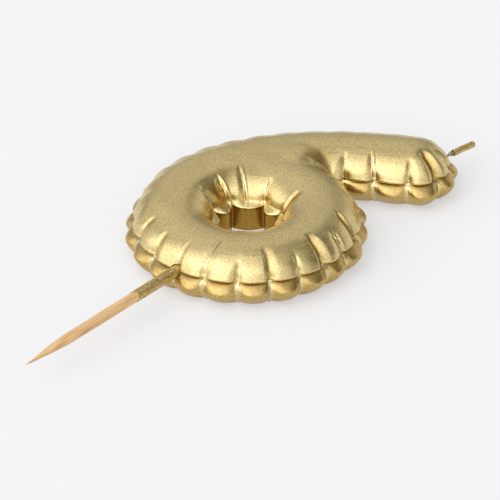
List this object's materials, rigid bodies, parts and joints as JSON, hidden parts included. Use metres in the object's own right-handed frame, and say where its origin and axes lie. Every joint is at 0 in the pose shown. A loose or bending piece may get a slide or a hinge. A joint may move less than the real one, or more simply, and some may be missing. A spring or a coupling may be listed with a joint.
{
  "type": "number candle",
  "caption": "Number six cake candle cast in wax like a puffed foil balloon, gold, lying on its flat back, with a wooden pick at the foot and a plaited wick at the tip.",
  "frame": {"origin": "middle of the whole candle's footprint, on the table that the flat back lies on", "axes": "+Y from the pick's point to the wick, along the digit as it is read; +Z out of the puffed front; +X to the digit's right"},
  "size_m": [0.0494, 0.1182, 0.011],
  "materials": {
    "gold_wax": "satin gold lacquer with a fine grain over cast wax",
    "pick_wood": "bare turned wood with fine lengthwise grain",
    "gold_coat": "thin brushed gold lacquer, slightly rough",
    "wick_cotton": "plaited cotton primed with wax"
  },
  "bodies": {
    "root": {"wax_body": "gold_wax", "wooden_pick": "pick_wood", "pick_gold_coat": "gold_coat", "wick_strand_1": "wick_cotton", "wick_strand_2": "wick_cotton", "wick_strand_3": "wick_cotton", "wick_gold_coat": "gold_coat"}
  },
  "joints": []
}
